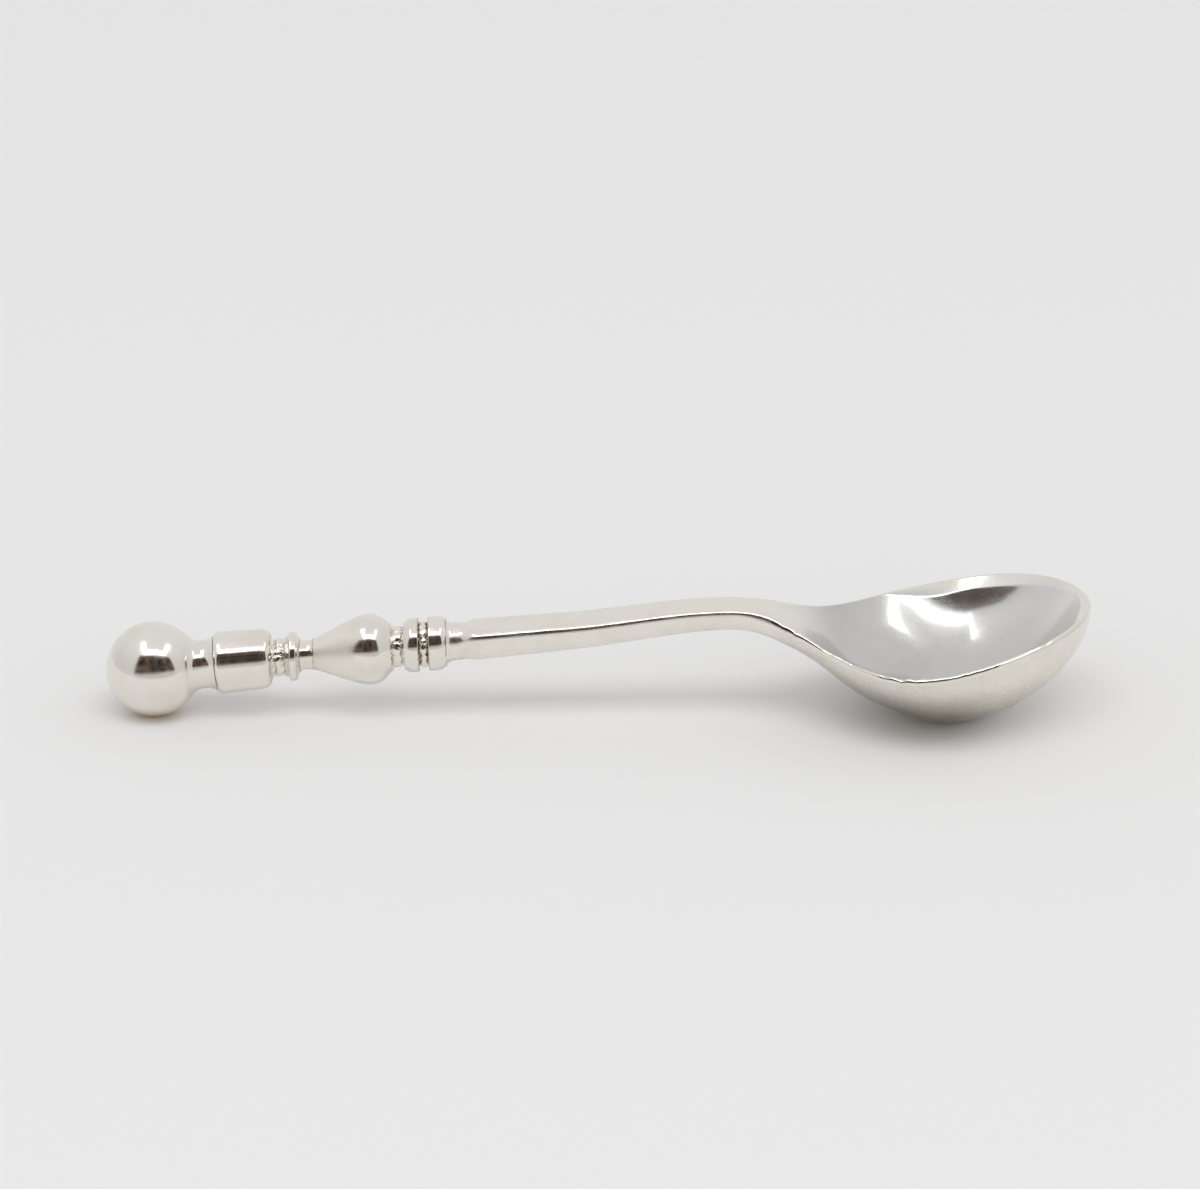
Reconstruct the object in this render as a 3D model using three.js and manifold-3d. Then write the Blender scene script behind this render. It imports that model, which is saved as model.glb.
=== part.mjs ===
// Silver condiment spoon: a handle of turned members threaded on the stem's tang, and a forged bowl.
// Millimetres. +X runs from the ball finial to the bowl's tip and +Z is up. The spoon lies at rest on
// z = 0, on its ball and on the worn spot under its bowl, with the origin under the middle of its length.

import * as THREE from 'three';
import { mergeVertices } from 'three/addons/utils/BufferGeometryUtils.js';
import ManifoldModule from 'manifold-3d';

// Handle axis, and the tang that holds the members
const HANDLE_TILT = THREE.MathUtils.degToRad(5.63);
const TANG_R = 0.65;
const TANG_IN_BALL = 3.4;
const FIT = 0.05; // room round the tang in each bore
const SOLDER = 0.04; // solder film between two pieces
const RING_LEAN = THREE.MathUtils.degToRad(3.6); // the rings stand more upright than square to the axis
const CONE_LEAN = 0.2; // the cone's share of that lean

// Turned members, from the finial to the stem: length along the axis, then radii
const BALL_R = 3.86;
const BALL_SEAT_R = 2.45; // flat on the ball where its neck sits

const NECK_L = 2.04;
const NECK_BALL_R = 2.38;
const NECK_WAIST_R = 1.94;
const NECK_BARREL_R = 2.24;

const BARREL_L = 4.5;
const BARREL_R = 2.54;
const BARREL_FAR_R = 2.44; // it tapers a little towards the spool
const BARREL_NEAR_R = 2.12; // its end face at the ball
const BARREL_END_R = 1.82; // and at the spool
const BARREL_ROUND_NEAR = 0.6; // rounding of its end at the ball
const BARREL_ROUND_FAR = 1.0; // and of its end at the spool

const SPOOL_L = 1.22;
const SPOOL_END_R = 1.7;
const SPOOL_WAIST_R = 1.35;

const DISC_L = 1.03;
const DISC_R = 2.0;
const DISC_FOOT_R = 1.34;
const DISC_SWELL = 0.3; // how soon it swells from its foot to its rim

const THROAT_L = 1.06;
const THROAT_END_R = 1.27;
const THROAT_WAIST_R = 1.18;

const CONE_L = 6.32;
const CONE_TOP_R = 1.22;
const CONE_BELLY_R = 2.88;
const CONE_BELLY_AT = 4.55; // from its small end to the belly
const CONE_FOOT_R = 1.92;

const KNOP_NECK_L = 1.02;
const KNOP_NECK_START_R = 1.88; // against the cone
const KNOP_NECK_WAIST_R = 1.52;
const KNOP_NECK_END_R = 1.6;

const COLLAR_R = 2.2;
const COLLAR_FOOT_R = 1.95; // radius of a collar's bevelled face
const COLLAR_BEVEL = 0.36; // length of that bevel
const COLLAR_BREAK = 0.05; // broken edge beside the beads
const KNOP_COLLAR_L = 1.11;
const STEM_COLLAR_L = 1.35;

const BEAD_RING_L = 0.78;
const BEAD_CORE_R = 1.66;
const BEAD_HEIGHT = 0.2;
const BEAD_COUNT = 19;

// Stem: a round neck, then a bar of soft rectangular section that bows up before the bowl
const STEM_NECK_R = 1.84; // against the collar
const STEM_WAIST_R = 1.54;
const STEM_WAIST_AT = 0.62;
const SHOULDER_L = 2.1; // from the waist to the full bar
const STEM_L = 22.3; // from the collar to where the bar starts to flare
const BAR_W = 3.94;
const BAR_H = 2.46;
const BAR_END_W = 3.4;
const BAR_END_H = 1.84;
const BAR_EDGE_R = 0.5;
const BOW_L = 12.0; // length of the upward bow
const BOW_RISE = 0.28; // height of its end over the handle's axis
const BOW_SLOPE = 0.03; // slope left at its end

// Bowl: heights over the table, lengths along X
const FLARE_L = 17.65; // from the bar to the widest place
const NOSE_L = 12.07; // from there to the tip
const BOWL_W = 20.24;
const BOWL_WALL = 0.75; // at the heel
const BOWL_BASE = 1.81; // silver left under the hollow's lowest place
const RIM_W = 0.66;
const RIM_EDGE_R = 0.14;
const RIM_SHOULDER_Z = 9.17;
const RIM_HEEL_Z = 7.56;
const RIM_LOW_Z = 6.82;
const RIM_WIDE_Z = 7.36;
const RIM_NOSE_Z = 8.76;
const RIM_TIP_Z = 9.95;
const KEEL_BEND_Z = 7.58;
const KEEL_SHOULDER_Z = 6.5;
const KEEL_HEEL_Z = 4.66;
const KEEL_MIDDLE_Z = 2.5;
const KEEL_LOW_Z = 0.93;
const WORN_DEPTH = 0.08; // silver worn off where the bowl rests
const HOLLOW_START = 4.4; // from the bar to where the hollow begins
const HOLLOW_RAMP = 6.0; // length over which it reaches full depth
const SIDE_CUT = 0.75; // part of a half ellipse that the bowl's outside keeps across
const HEEL_CUT = 0.4; // the same for the hollow, across it at the heel
const NOSE_CUT = 0.985; // across it at the nose
const TIP_CUT = 0.7; // and along it to the tip
const CUT_TURN_AT = 13.9; // from the bar to where the hollow starts to steepen
const CUT_TURN_L = 7.4;
const NOSE_FILL = -0.12; // fullness under the nose, 0 for an ellipse

// Soldered scarf between stem and bowl
const SCARF_AT = 3.2; // from the start of the flare
const SCARF_ANGLE = THREE.MathUtils.degToRad(38);

// Facets
const TURN_STEPS = 32;
const BEAD_STEPS = 5;
const OUTER_STEPS = 20;
const INNER_STEPS = 16;
const EDGE_STEPS = 3;
const ROOMY = 120; // a block larger than the spoon, for cuts

const manifold = await ManifoldModule();
manifold.setup();

const SILVER = { color: 0xd9d5cc, metalness: 1, roughness: 0.16 };
const SATIN = { color: 0xcfcac0, metalness: 1, roughness: 0.32 };
const GRANULAR = { color: 0x9a9184, metalness: 1, roughness: 0.5 };

// Places along the handle's axis, measured from the ball's centre
const ballSeat = Math.sqrt(BALL_R ** 2 - BALL_SEAT_R ** 2);
const boreR = TANG_R + FIT;
const memberLengths = [
  NECK_L, BARREL_L, SPOOL_L, DISC_L, THROAT_L, CONE_L, KNOP_NECK_L, KNOP_COLLAR_L, BEAD_RING_L, STEM_COLLAR_L,
];
const memberStarts = [];
let axisPlace = ballSeat + SOLDER;
for (const length of memberLengths) {
  memberStarts.push(axisPlace);
  axisPlace += length + SOLDER;
}
const stemStart = axisPlace;

// Places along X
const overall = BALL_R + stemStart * Math.cos(HANDLE_TILT) + STEM_L + FLARE_L + NOSE_L;
const ballX = BALL_R - overall / 2;
const stemX = ballX + stemStart * Math.cos(HANDLE_TILT);
const waistX = stemX + STEM_WAIST_AT;
const barX = waistX + SHOULDER_L;
const flareX = stemX + STEM_L;
const wideX = flareX + FLARE_L;
const tipX = wideX + NOSE_L;
const axisSlope = Math.tan(HANDLE_TILT);
const axisZ = (x) => BALL_R + (x - ballX) * axisSlope;

function ease(t) {
  const c = THREE.MathUtils.clamp(t, 0, 1);
  return c * c * c * (c * (6 * c - 15) + 10);
}

// Cubic through [x, z, slope] stations; a slope left out is taken from the neighbours
function curveThrough(stations) {
  const slopes = stations.map(([x, z, slope], i) => {
    if (slope !== undefined) return slope;
    const [x0, z0] = stations[i - 1];
    const [x1, z1] = stations[i + 1];
    return ((z1 - z) / (x1 - x)) * ((x - x0) / (x1 - x0)) + ((z - z0) / (x - x0)) * ((x1 - x) / (x1 - x0));
  });
  return (x) => {
    let i = 0;
    while (i < stations.length - 2 && x > stations[i + 1][0]) i++;
    const [x0, z0] = stations[i];
    const [x1, z1] = stations[i + 1];
    const span = x1 - x0;
    const t = (x - x0) / span;
    const s = 1 - t;
    const bulge = s * slopes[i] - t * slopes[i + 1];
    return z0 * s * s * (1 + 2 * t) + z1 * t * t * (1 + 2 * s) + span * t * s * bulge;
  };
}

// Middle line of the bar, up to the flare
const bowX = flareX - BOW_L;
const bow = curveThrough([
  [bowX, axisZ(bowX), axisSlope],
  [flareX, axisZ(flareX) + BOW_RISE, BOW_SLOPE],
]);
const middleZ = (x) => (x < bowX ? axisZ(x) : bow(x));
const barShare = (x) => THREE.MathUtils.clamp((x - barX) / (flareX - barX), 0, 1);
const barH = (x) => THREE.MathUtils.lerp(BAR_H, BAR_END_H, barShare(x));

// Side view past the flare: the rim above, the keel below
const flareTop = middleZ(flareX) + BAR_END_H / 2;
const flareUnder = middleZ(flareX) - BAR_END_H / 2;
const rimCurve = curveThrough([
  [flareX, flareTop, BOW_SLOPE],
  [flareX + 0.22 * FLARE_L, RIM_SHOULDER_Z],
  [flareX + 0.445 * FLARE_L, RIM_HEEL_Z],
  [flareX + 0.69 * FLARE_L, RIM_LOW_Z],
  [wideX, RIM_WIDE_Z],
  [wideX + 0.5 * NOSE_L, RIM_NOSE_Z],
  [tipX, RIM_TIP_Z, (RIM_TIP_Z - RIM_NOSE_Z) / (0.5 * NOSE_L)],
]);
const keelCurve = curveThrough([
  [flareX, flareUnder, BOW_SLOPE],
  [flareX + 0.14 * FLARE_L, KEEL_BEND_Z],
  [flareX + 0.28 * FLARE_L, KEEL_SHOULDER_Z],
  [flareX + 0.445 * FLARE_L, KEEL_HEEL_Z],
  [flareX + 0.61 * FLARE_L, KEEL_MIDDLE_Z],
  [flareX + 0.805 * FLARE_L, KEEL_LOW_Z],
  [wideX, -WORN_DEPTH, 0],
]);
const topZ = (x) => (x < flareX ? middleZ(x) + barH(x) / 2 : rimCurve(x));
const underZ = (x) => (x < flareX ? middleZ(x) - barH(x) / 2 : keelCurve(x));

// Half the width: the bar, then an ogee that meets the nose's ellipse at the same curvature
function halfWidth(x) {
  if (x < flareX) return THREE.MathUtils.lerp(BAR_W, BAR_END_W, barShare(x)) / 2;
  const t = (x - flareX) / FLARE_L;
  const taper = (BAR_END_W - BAR_W) / 2 / (flareX - barX);
  const ogee = THREE.MathUtils.lerp(BAR_END_W, BOWL_W, ease(t)) / 2;
  const fuller = (BOWL_W / 4) * (FLARE_L / NOSE_L) ** 2 * t ** 3 * (1 - t) ** 2;
  const lead = taper * FLARE_L * (t - 6 * t ** 3 + 8 * t ** 4 - 3 * t ** 5);
  return ogee - fuller + lead;
}

// A station gives the plan's point at an inset from the outline, and how far round the nose it lies
const alongStation = (x) => ({ plan: (inset) => [x, halfWidth(x) - inset], turn: 0 });
function noseStation(turn) {
  const plan = (inset) => [
    wideX + (NOSE_L - inset) * Math.sin(turn),
    (BOWL_W / 2 - inset) * Math.cos(turn),
  ];
  return { plan, turn };
}

// Bowl's cross-section: a half ellipse without its steepest part, 1 at the keel and 0 at the rim
function hang(t, cut) {
  const rest = Math.sqrt(Math.max(0, 1 - cut));
  return (Math.sqrt(Math.max(0, 1 - cut * t * t)) - rest) / (1 - rest);
}

const hollowCut = (x) => THREE.MathUtils.lerp(HEEL_CUT, NOSE_CUT, ease((x - flareX - CUT_TURN_AT) / CUT_TURN_L));

// Share of the keel's rise to the tip, going round the nose
const noseRise = (turn) => 1 - Math.max(0, Math.cos(turn)) * (1 + NOSE_FILL * Math.sin(turn) ** 2);

// Radius of the round neck, and how far the section has turned from it into the bar
function neckRadius(x) {
  const t = THREE.MathUtils.clamp((waistX - x) / STEM_WAIST_AT, 0, 1);
  return THREE.MathUtils.lerp(STEM_WAIST_R, STEM_NECK_R, t * t);
}

const barness = (x) => ease((x - waistX) / SHOULDER_L);

// One closed loop of points round the stem or bowl, from the near edge under the keel to the far edge
function loopAt({ plan, turn }) {
  const [x] = plan(0);
  const flared = ease((x - flareX) / (0.6 * FLARE_L));
  const bowled = ease((x - flareX - 0.05 * FLARE_L) / (0.45 * FLARE_L));
  const edgeR = THREE.MathUtils.lerp(BAR_EDGE_R, RIM_EDGE_R, flared);
  const rimW = THREE.MathUtils.lerp(BAR_EDGE_R + 0.06, RIM_W, flared);
  const [rimX] = plan(rimW);
  const nose = noseRise(turn);
  const under = turn > 0 ? THREE.MathUtils.lerp(-WORN_DEPTH, RIM_TIP_Z, nose) : underZ(x);
  const fullDepth = topZ(x) - under;
  const edgeDrop = edgeR * (1 - nose);
  const hollow = ease((x - flareX - HOLLOW_START) / HOLLOW_RAMP);
  const noseFloor = THREE.MathUtils.lerp(rimCurve(tipX - RIM_W), BOWL_BASE, hang(Math.sin(turn), TIP_CUT));
  const wall = THREE.MathUtils.lerp(BOWL_WALL, BOWL_BASE + WORN_DEPTH, ease((x - flareX) / FLARE_L));
  const floorZ = turn > 0 ? noseFloor : under + wall;
  const hollowDepth = Math.max(0, topZ(rimX) - floorZ) * hollow;
  const points = [];

  for (let i = 0; i <= OUTER_STEPS; i++) {
    const angle = Math.PI * (i / OUTER_STEPS - 0.5);
    const side = Math.sin(angle);
    const down = Math.max(0, Math.cos(angle));
    const boxSide = Math.sign(side) * Math.abs(side) ** (1 / 3);
    const [px, half] = plan(0);
    const y = half * THREE.MathUtils.lerp(boxSide, side, bowled);
    const drop = (fullDepth - edgeDrop) * THREE.MathUtils.lerp(down ** (1 / 3), hang(side, SIDE_CUT), bowled);
    points.push(new THREE.Vector3(px, y, topZ(px) - edgeDrop - drop));
  }
  const edgePoint = (step, sign) => {
    const angle = (Math.PI / 2) * (step / EDGE_STEPS);
    const [px, half] = plan(edgeR * (1 - Math.cos(angle)));
    return new THREE.Vector3(px, sign * half, topZ(px) - edgeDrop * (1 - Math.sin(angle)));
  };
  for (let step = 1; step <= EDGE_STEPS; step++) points.push(edgePoint(step, 1));
  for (let i = 0; i <= INNER_STEPS; i++) {
    const side = Math.sin(Math.PI * (0.5 - i / INNER_STEPS));
    const [px, half] = plan(rimW);
    points.push(new THREE.Vector3(px, half * side, topZ(px) - hollowDepth * hang(side, hollowCut(x))));
  }
  for (let step = EDGE_STEPS; step >= 1; step--) points.push(edgePoint(step, -1));
  return x < flareX ? standUp(points, x) : points;
}

// Rounds a loop into the neck where it is near it, and stands it square to the middle line
function standUp(points, x) {
  const z = middleZ(x);
  const slope = (middleZ(x + 0.01) - middleZ(x - 0.01)) / 0.02;
  const upright = Math.cos(Math.atan(slope));
  const radius = neckRadius(x);
  const mix = barness(x);
  const lean = Math.tan(RING_LEAN) * (1 - ease((x - stemX) / (barX - stemX)));
  return points.map((point) => {
    const angle = Math.atan2(point.y, point.z - z);
    const y = THREE.MathUtils.lerp(radius * Math.sin(angle), point.y, mix);
    const rise = THREE.MathUtils.lerp(radius * Math.cos(angle), point.z - z, mix) * upright;
    return new THREE.Vector3(x + rise * (lean - slope), y, z + rise);
  });
}

// Closed skin over a row of loops; the first is capped, and the last has folded to a line
function skin(loops) {
  const count = loops[0].length;
  const positions = loops.flat().flatMap((p) => [p.x, p.y, p.z]);
  const index = [];
  for (let row = 0; row < loops.length - 1; row++) {
    for (let i = 0; i < count; i++) {
      const a = row * count + i;
      const b = row * count + ((i + 1) % count);
      index.push(a, b, a + count, b, b + count, a + count);
    }
  }
  const cap = THREE.ShapeUtils.triangulateShape(loops[0].map((p) => new THREE.Vector2(p.y, p.z)), []);
  for (const [a, b, c] of cap) index.push(a, c, b);
  const geometry = new THREE.BufferGeometry();
  geometry.setAttribute('position', new THREE.Float32BufferAttribute(positions, 3));
  geometry.setIndex(index);
  return geometry;
}

function toSolid(geometry) {
  const bare = geometry.clone();
  for (const name of Object.keys(bare.attributes)) {
    if (name !== 'position') bare.deleteAttribute(name);
  }
  const merged = mergeVertices(bare, 1e-5);
  const corners = merged.index.array;
  const kept = [];
  for (let i = 0; i < corners.length; i += 3) {
    const [a, b, c] = [corners[i], corners[i + 1], corners[i + 2]];
    if (a !== b && b !== c && c !== a) kept.push(a, b, c);
  }
  const mesh = new manifold.Mesh({
    numProp: 3,
    vertProperties: new Float32Array(merged.attributes.position.array),
    triVerts: new Uint32Array(kept),
  });
  return new manifold.Manifold(mesh);
}

function toGeometry(solid) {
  const mesh = solid.getMesh();
  const geometry = new THREE.BufferGeometry();
  geometry.setAttribute('position', new THREE.Float32BufferAttribute(mesh.vertProperties, 3));
  geometry.setIndex([...mesh.triVerts]);
  geometry.computeVertexNormals();
  return geometry;
}

function piece(name, geometry, finish) {
  const mesh = new THREE.Mesh(geometry, new THREE.MeshStandardMaterial(finish));
  mesh.name = name;
  return mesh;
}

const spoon = new THREE.Group();
const handle = new THREE.Group();
handle.position.set(ballX, 0, BALL_R);
handle.rotation.y = -HANDLE_TILT;
spoon.add(handle);
handle.updateMatrix();

// Turns a profile of [radius, place along the axis] points about the handle's axis
function turned(points, steps = TURN_STEPS) {
  const geometry = new THREE.LatheGeometry(points, steps);
  return geometry.rotateZ(-Math.PI / 2);
}

// A member with the tang's bore right through it, from the outline of its outside
function boredMember(outline, length) {
  const outside = outline.getPoints(5);
  const start = new THREE.Vector2(boreR, 0);
  return turned([start, ...outside, new THREE.Vector2(boreR, length), start.clone()]);
}

// Hollow curve between two ends, down to a waist between them
function waisted(startR, waistR, endR, length, waistAt = length / 2) {
  const outline = new THREE.Path();
  outline.moveTo(startR, 0);
  outline.quadraticCurveTo(waistR, waistAt * 0.4, waistR, waistAt);
  outline.quadraticCurveTo(waistR, length - (length - waistAt) * 0.4, endR, length);
  return outline;
}

function ballFinial() {
  const outline = new THREE.Path();
  outline.absarc(0, 0, BALL_R, -Math.PI / 2, Math.atan2(ballSeat, BALL_SEAT_R), false);
  const depth = ballSeat - TANG_IN_BALL - FIT;
  const bore = [new THREE.Vector2(boreR, ballSeat), new THREE.Vector2(boreR, depth), new THREE.Vector2(0, depth)];
  return turned([...outline.getPoints(10), ...bore]);
}

function barrelOutline() {
  const outline = new THREE.Path();
  outline.moveTo(BARREL_NEAR_R, 0);
  outline.quadraticCurveTo(BARREL_R, 0, BARREL_R, BARREL_ROUND_NEAR);
  outline.lineTo(BARREL_FAR_R, BARREL_L - BARREL_ROUND_FAR);
  outline.quadraticCurveTo(BARREL_FAR_R, BARREL_L, BARREL_END_R, BARREL_L);
  return outline;
}

function discOutline() {
  const outline = new THREE.Path();
  outline.moveTo(DISC_FOOT_R, 0);
  outline.quadraticCurveTo(DISC_R, DISC_SWELL, DISC_R, DISC_L / 2);
  outline.quadraticCurveTo(DISC_R, DISC_L - DISC_SWELL, DISC_FOOT_R, DISC_L);
  return outline;
}

function coneOutline() {
  const outline = new THREE.Path();
  const swell = CONE_BELLY_AT * 0.62;
  const swellR = THREE.MathUtils.lerp(CONE_TOP_R, CONE_BELLY_R, 0.72);
  outline.moveTo(CONE_TOP_R, 0);
  outline.lineTo(swellR, swell);
  outline.quadraticCurveTo(CONE_BELLY_R, THREE.MathUtils.lerp(swell, CONE_BELLY_AT, 0.6), CONE_BELLY_R, CONE_BELLY_AT);
  outline.bezierCurveTo(
    CONE_BELLY_R, THREE.MathUtils.lerp(CONE_BELLY_AT, CONE_L, 0.55),
    THREE.MathUtils.lerp(CONE_FOOT_R, CONE_BELLY_R, 0.5), THREE.MathUtils.lerp(CONE_BELLY_AT, CONE_L, 0.8),
    CONE_FOOT_R, CONE_L,
  );
  return outline;
}

// A collar seen from its bevelled face to its sharp face
function collarOutline(length, bevelFirst) {
  const corners = [
    [COLLAR_FOOT_R, 0],
    [COLLAR_R, COLLAR_BEVEL],
    [COLLAR_R, length - COLLAR_BREAK],
    [COLLAR_R - COLLAR_BREAK, length],
  ];
  const ordered = bevelFirst ? corners : corners.map(([r, s]) => [r, length - s]).reverse();
  return new THREE.Path(ordered.map(([r, s]) => new THREE.Vector2(r, s)));
}

// A ring with a row of low round beads on its outside
function beadRing() {
  const steps = 5;
  const points = [new THREE.Vector2(boreR, 0)];
  for (let i = 0; i <= steps; i++) points.push(new THREE.Vector2(BEAD_CORE_R, (BEAD_RING_L * i) / steps));
  points.push(new THREE.Vector2(boreR, BEAD_RING_L), new THREE.Vector2(boreR, 0));
  const geometry = turned(points, BEAD_COUNT * BEAD_STEPS);
  const place = geometry.attributes.position;
  for (let i = 0; i < place.count; i++) {
    const radius = Math.hypot(place.getY(i), place.getZ(i));
    if (radius < (boreR + BEAD_CORE_R) / 2) continue;
    const around = Math.abs(Math.sin((BEAD_COUNT / 2) * Math.atan2(place.getZ(i), place.getY(i))));
    const along = (2 * place.getX(i)) / BEAD_RING_L - 1;
    const grown = 1 + (BEAD_HEIGHT * around * Math.sqrt(Math.max(0, 1 - along * along))) / radius;
    place.setY(i, place.getY(i) * grown);
    place.setZ(i, place.getZ(i) * grown);
  }
  return geometry;
}

handle.add(piece('ball_finial', ballFinial(), SILVER));
const memberForms = [
  ['finial_neck', boredMember(waisted(NECK_BALL_R, NECK_WAIST_R, NECK_BARREL_R, NECK_L), NECK_L), SILVER],
  ['barrel', boredMember(barrelOutline(), BARREL_L), SILVER],
  ['barrel_spool', boredMember(waisted(SPOOL_END_R, SPOOL_WAIST_R, SPOOL_END_R, SPOOL_L), SPOOL_L), GRANULAR],
  ['disc', boredMember(discOutline(), DISC_L), SILVER],
  ['throat', boredMember(waisted(THROAT_END_R, THROAT_WAIST_R, THROAT_END_R, THROAT_L), THROAT_L), SILVER],
  ['cone_knop', boredMember(coneOutline(), CONE_L), SILVER],
  ['knop_neck',
    boredMember(waisted(KNOP_NECK_START_R, KNOP_NECK_WAIST_R, KNOP_NECK_END_R, KNOP_NECK_L), KNOP_NECK_L), GRANULAR],
  ['knop_collar', boredMember(collarOutline(KNOP_COLLAR_L, true), KNOP_COLLAR_L), SILVER],
  ['beaded_ring', beadRing(), GRANULAR],
  ['stem_collar', boredMember(collarOutline(STEM_COLLAR_L, false), STEM_COLLAR_L), SILVER],
];

// Leans a member's rings: more and more from the barrel to the disc, little at the cone, and fully past it
function leanOver(geometry, start) {
  const belly = memberStarts[5] + CONE_BELLY_AT;
  const grown = (at, from, to) => ease((at - from) / (to - from));
  const place = geometry.attributes.position;
  for (let i = 0; i < place.count; i++) {
    const at = start + place.getX(i);
    const eased = grown(at, memberStarts[4], belly) - grown(at, belly, memberStarts[7]);
    const share = grown(at, memberStarts[1], memberStarts[3]) - (1 - CONE_LEAN) * eased;
    place.setX(i, place.getX(i) + Math.tan(RING_LEAN * share) * place.getZ(i));
  }
  return geometry;
}

memberForms.forEach(([name, geometry, finish], i) => {
  const member = piece(name, leanOver(geometry, memberStarts[i]), finish);
  member.position.x = memberStarts[i];
  handle.add(member);
});

// Stem and bowl share one forged outline, parted along the scarf
function forgedBlank() {
  const stations = [];
  const row = (from, to, steps) => {
    for (let i = 0; i < steps; i++) stations.push(alongStation(THREE.MathUtils.lerp(from, to, i / steps)));
  };
  row(stemX, waistX, 3);
  row(waistX, barX, 6);
  row(barX, bowX, 2);
  row(bowX, flareX, 5);
  row(flareX, wideX, 20);
  const noseSteps = 16;
  for (let i = 0; i <= noseSteps; i++) stations.push(noseStation(((Math.PI / 2) * i) / noseSteps));
  return toSolid(skin(stations.map(loopAt)));
}

// Half of space past the scarf (side 1) or before it (side -1), less half the solder film
function scarfHalf(side) {
  const block = new THREE.BoxGeometry(ROOMY, ROOMY, ROOMY);
  block.translate((side * (ROOMY + SOLDER)) / 2, 0, 0);
  block.rotateY(Math.PI / 2 - SCARF_ANGLE);
  const x = flareX + SCARF_AT;
  block.translate(x, 0, (topZ(x) + underZ(x)) / 2);
  return toSolid(block);
}

function tang() {
  const root = STEM_WAIST_AT;
  const length = stemStart + root - (ballSeat - TANG_IN_BALL);
  const rod = new THREE.CylinderGeometry(TANG_R, TANG_R, length, 20).rotateZ(-Math.PI / 2);
  rod.translate(stemStart + root - length / 2, 0, 0);
  return toSolid(rod.applyMatrix4(handle.matrix));
}

const blank = forgedBlank();
const table = toSolid(new THREE.BoxGeometry(ROOMY, ROOMY, ROOMY).translate(0, 0, -ROOMY / 2));
spoon.add(piece('stem', toGeometry(blank.intersect(scarfHalf(-1)).add(tang())), SATIN));
spoon.add(piece('bowl', toGeometry(blank.intersect(scarfHalf(1)).subtract(table)), SATIN));

export default spoon;
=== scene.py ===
"""Looks of the silver condiment spoon: turned members, granulated rings, a forged stem and bowl.

Sizes are in millimetres and become metres where a mesh is made. The parts in model.glb give the ball at the
handle's end and the bowl's tip, and the members follow each other along the handle's axis from the ball.
"""

import math
import random

import bpy
import numpy as np
from mathutils import Matrix, Vector


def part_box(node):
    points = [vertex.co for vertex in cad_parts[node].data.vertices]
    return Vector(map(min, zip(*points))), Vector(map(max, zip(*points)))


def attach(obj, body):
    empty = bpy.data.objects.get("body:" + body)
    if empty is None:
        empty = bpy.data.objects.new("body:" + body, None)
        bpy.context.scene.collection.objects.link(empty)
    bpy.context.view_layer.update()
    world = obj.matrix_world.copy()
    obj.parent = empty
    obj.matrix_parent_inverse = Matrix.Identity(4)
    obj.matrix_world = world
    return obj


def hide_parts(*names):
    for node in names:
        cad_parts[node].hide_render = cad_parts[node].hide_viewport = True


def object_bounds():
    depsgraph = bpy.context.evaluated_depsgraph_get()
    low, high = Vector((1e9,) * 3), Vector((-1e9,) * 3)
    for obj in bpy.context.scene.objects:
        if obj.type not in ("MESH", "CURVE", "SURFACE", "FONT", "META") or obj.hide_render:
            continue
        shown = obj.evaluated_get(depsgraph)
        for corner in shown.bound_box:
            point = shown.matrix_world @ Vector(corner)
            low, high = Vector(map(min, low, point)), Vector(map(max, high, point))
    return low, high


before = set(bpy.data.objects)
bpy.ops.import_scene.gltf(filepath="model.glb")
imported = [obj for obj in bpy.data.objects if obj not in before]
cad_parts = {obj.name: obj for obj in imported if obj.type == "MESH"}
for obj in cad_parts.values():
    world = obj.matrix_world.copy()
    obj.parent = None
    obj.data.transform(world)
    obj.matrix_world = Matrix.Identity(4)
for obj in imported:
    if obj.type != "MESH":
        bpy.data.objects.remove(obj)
cad_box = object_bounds()

MM = 0.001

# Handle axis, from the ball's centre
TILT = math.radians(5.63)
AXIS = Vector((math.cos(TILT), 0, math.sin(TILT)))
UPRIGHT = Vector((-math.sin(TILT), 0, math.cos(TILT)))
ball_low, ball_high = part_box("ball_finial")
BALL_R = (ball_high.z - ball_low.z) / 2 / MM
BALL_CENTRE = ball_low + Vector((BALL_R, -ball_low.y / MM, BALL_R)) * MM

# Tang, its bore and the solder between the members
BORE_R, BORE_DEPTH = 0.7, 3.45
TANG_R, TANG_DEPTH, TANG_POINT_R = 0.65, 3.4, 0.001
SOLDER = 0.04
SEATED = SOLDER / 2 + 0.02

# Turned members: lengths along the axis and radii
BALL_SEAT_R, POLE_R, POLISHED_OFF = 2.45, 0.004, 0.01
NECK_L, NECK_BALL_R, NECK_WAIST_R, NECK_BARREL_R = 2.04, 2.44, 1.94, 2.24
BARREL_L, BARREL_R, BARREL_FAR_R, BARREL_NEAR_R, BARREL_END_R = 4.5, 2.54, 2.44, 2.12, 1.82
BARREL_ROUND_NEAR, BARREL_ROUND_FAR = 0.6, 1.0
SPOOL_L, SPOOL_END_R, SPOOL_WAIST_R = 1.22, 1.7, 1.35
DISC_L, DISC_R, DISC_FOOT_R, DISC_SWELL = 1.03, 2.0, 1.34, 0.18
THROAT_L, THROAT_END_R, THROAT_WAIST_R = 1.06, 1.27, 1.18
CONE_L, CONE_TOP_R, CONE_BELLY_R, CONE_BELLY_AT = 6.32, 1.22, 2.88, 4.55
CONE_ROUND_R, CONE_FOOT_R = 2.62, 1.92
KNOP_NECK_L, KNOP_NECK_START_R, KNOP_NECK_WAIST_R, KNOP_NECK_END_R = 1.02, 2.0, 1.52, 1.62
COLLAR_R, COLLAR_FOOT_R, COLLAR_BEVEL, COLLAR_SHOULDER, COLLAR_BREAK = 2.2, 1.95, 0.36, 0.612, 0.08
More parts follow.
